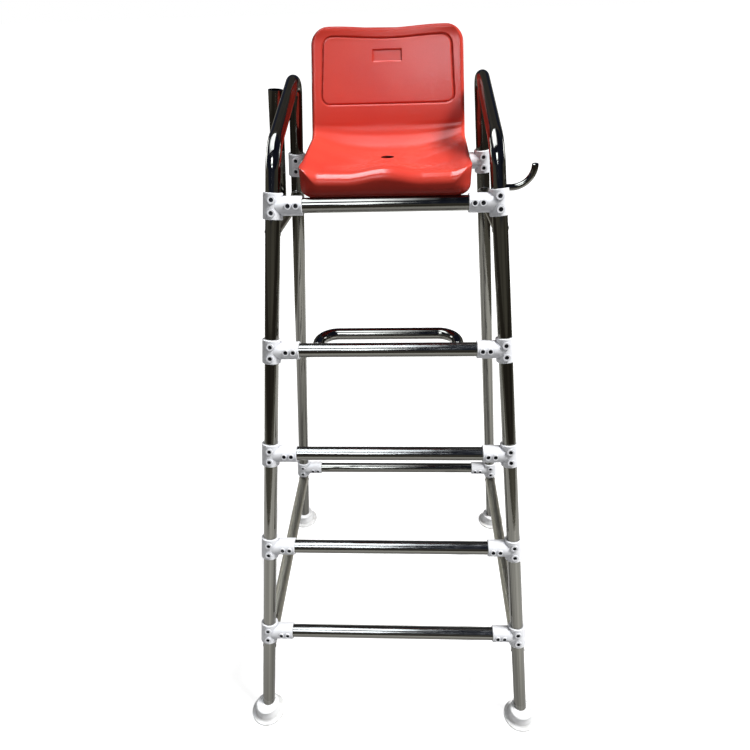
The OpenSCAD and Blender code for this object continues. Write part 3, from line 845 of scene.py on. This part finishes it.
# ------------------------------------------------------------------- stage
def stage_mesh(name, verts, faces, mat, glossy_only=True):
    """A piece of the studio; most of them show in mirror images only."""
    mesh = bpy.data.meshes.new(name)
    mesh.from_pydata(verts, [], faces)
    mesh.materials.append(mat)
    obj = new_object(name, mesh)
    if glossy_only:
        obj.visible_camera = obj.visible_diffuse = obj.visible_transmission = obj.visible_shadow = False
        obj.visible_volume_scatter = False


def quad(name, corners, mat, glossy_only=True):
    stage_mesh(name, corners, [(0, 1, 2, 3)], mat, glossy_only)


def glow(name, colour, strength=1.0, falls=()):
    """An even glow, or one that fades: a fall is an axis, where it is dark and where it is full."""
    mat = bpy.data.materials.new(name)
    mat.use_nodes = True
    g = Graph(mat.node_tree)
    g.tree.nodes.clear()
    level = strength
    for axis, dark, full in falls:
        level = g.math("MULTIPLY", g.fade(g.part(g.where(), axis), dark, full), level)
    light = g.add("ShaderNodeEmission", Color=(*colour, 1), Strength=level)
    g.add("ShaderNodeOutputMaterial", Surface=light.outputs[0])
    return mat


def floor_material():
    """Pale floor whose glow is only seen: white far away, and with a painted shadow near the chair in mirror
    images.
    """
    m = Mat("floor_white", Roughness=0.9)
    m.put(m.shader, Base_Color=(0.46, 0.46, 0.46, 1), Specular_IOR_Level=0.0)
    far = m.length(m.place)
    level = m.fade(far, 1.5, 9.0, 0.84, 1.0)
    # Painted shadow round the chair, seen only in mirror images.
    near = m.fade(far, 0.5, 1.2, 0.45, 1.0)
    shine = m.add("ShaderNodeEmission", Color=(1, 1, 1, 1), Strength=m.math("MULTIPLY", m.seen(near), level))
    both = m.add("ShaderNodeAddShader")
    m.set(both, 0, m.shader.outputs[0])
    m.set(both, 1, shine.outputs[0])
    m.put(m.out, Surface=both.outputs[0])
    return m.mat


FLOOR_HALF, FLOOR_DROP = 40.0, 0.0005  # the floor lies just under the feet
quad(
    "floor",
    [(x * FLOOR_HALF, y * FLOOR_HALF, -FLOOR_DROP) for x, y in ((-1, -1), (1, -1), (1, 1), (-1, 1))],
    floor_material(),
    glossy_only=False,
)


def band(name, r0, z0, r1, z1, mat):
    """A ring of cards round the object, from one radius and height to another."""
    n = 48
    a = [2 * math.pi * i / n for i in range(n)]
    verts = [(r * math.cos(t), r * math.sin(t), z) for t in a for r, z in ((r0, z0), (r1, z1))]
    faces = [(2 * i, 2 * i + 1, (2 * i + 3) % (2 * n), (2 * i + 2) % (2 * n)) for i in range(n)]
    stage_mesh(name, verts, faces, mat)


def card(name, x0, x1, front, back, mat):
    """A card between a front edge and a back edge, each given as y and z."""
    (y0, z0), (y1, z1) = front, back
    quad(name, [(x0, y0, z0), (x1, y0, z0), (x1, y1, z1), (x0, y1, z1)], mat)


def side_card(name, start, end, low, high, mat):
    """An upright card between two places on the floor plan."""
    quad(name, [(*start, low), (*end, low), (*end, high), (*start, high)], mat)


# The dark room that the tubes mirror, in rings from the floor up, and its ceiling.
NAVY = glow("flag_navy", (0.032, 0.040, 0.075))
ROOM_HALF, ROOM_H = 4.7, 4.8
band("flag_near", 2.6, 0.01, 4.2, 0.10, glow("flag_olive", (0.30, 0.29, 0.25)))
band("flag_low", 4.2, 0.10, 4.5, 1.25, glow("flag_brown", (0.075, 0.066, 0.055)))
band("flag_mid", 4.5, 1.25, ROOM_HALF, 2.4, glow("flag_grey", (0.20, 0.19, 0.16)))
band("flag_high", ROOM_HALF, 2.4, 4.6, ROOM_H, NAVY)
card("flag_top", -ROOM_HALF, ROOM_HALF, (-ROOM_HALF, ROOM_H), (ROOM_HALF, ROOM_H), NAVY)

# The bright windows and cards that give the highlights; the front window starts dark at its lower edge.
DAYLIGHT = (0.86, 0.92, 1.0)
LEFT_FADE = ("X", -4.0, -1.0)
WINDOW = glow("card_window", DAYLIGHT, 12.0, (("X", 0.3, -0.3), LEFT_FADE))
WINDOW_FRONT = glow("card_window_front", DAYLIGHT, 12.0, (("X", 0.1, -0.4), LEFT_FADE, ("Z", 3.45, 4.0)))
SHEEN = glow(
    "card_soft", (0.84, 0.91, 1.0), 24.0, (("X", -0.2, -0.42), ("X", -0.72, -0.5), ("Z", 3.05, 3.35)))
SIDE = glow("card_side", (0.96, 0.98, 1.0), 5.0)
card("window_top", -3.8, 0.3, (-1.35, 4.6), (1.5, 4.6), WINDOW)
card("window_front", -1.6, 0.1, (-4.2, 3.45), (-3.0, 4.6), WINDOW_FRONT)
card("ceiling_rear", -4.6, 4.6, (1.6, 4.7), (4.5, 4.7), glow("card_ceiling", (0.14, 0.13, 0.12)))
card("card_front", -0.75, -0.15, (-4.25, 3.05), (-4.2, 3.5), SHEEN)
side_card("card_left", (-4.3, 1.3), (-3.2, 3.1), 1.55, 2.9, SIDE)
side_card("card_right", (4.3, 1.3), (3.5, 2.7), 1.9, 2.8, SIDE)


def lamp(name, place, target, width, depth, power):
    """A rectangular lamp that doesn't show in mirror images."""
    data = bpy.data.lights.new(name, "AREA")
    data.shape, data.size, data.size_y, data.energy = "RECTANGLE", width, depth, power
    obj = new_object(name, data)
    obj.location = place
    obj.rotation_mode = "QUATERNION"
    obj.rotation_quaternion = (Vector(target) - Vector(place)).to_track_quat("-Z", "Y")
    obj.visible_glossy = False


lamp("key", place=(3.7, -0.45, 6.6), target=(0.0, -0.05, 1.3), width=2.4, depth=1.3, power=670)


def make_world():
    """White where it is seen; as light it is dim, and grows from the horizon to the zenith."""
    world = bpy.data.worlds.new("world")
    bpy.context.scene.world = world
    world.use_nodes = True
    g = Graph(world.node_tree)
    height = g.part(g.where("Generated"), "Z")
    light = g.add("ShaderNodeMapRange", Value=height, From_Min=0.0, From_Max=1.0, To_Min=0.03, To_Max=0.40)
    level = g.add("ShaderNodeMix")
    for i, value in ((0, g.seen()), (2, light.outputs[0]), (3, 1.0)):
        g.set(level, i, value)
    g.put(world.node_tree.nodes["Background"], Color=(1, 1, 1, 1), Strength=level.outputs[0])


make_world()
bpy.context.scene.view_settings.view_transform = "Standard"
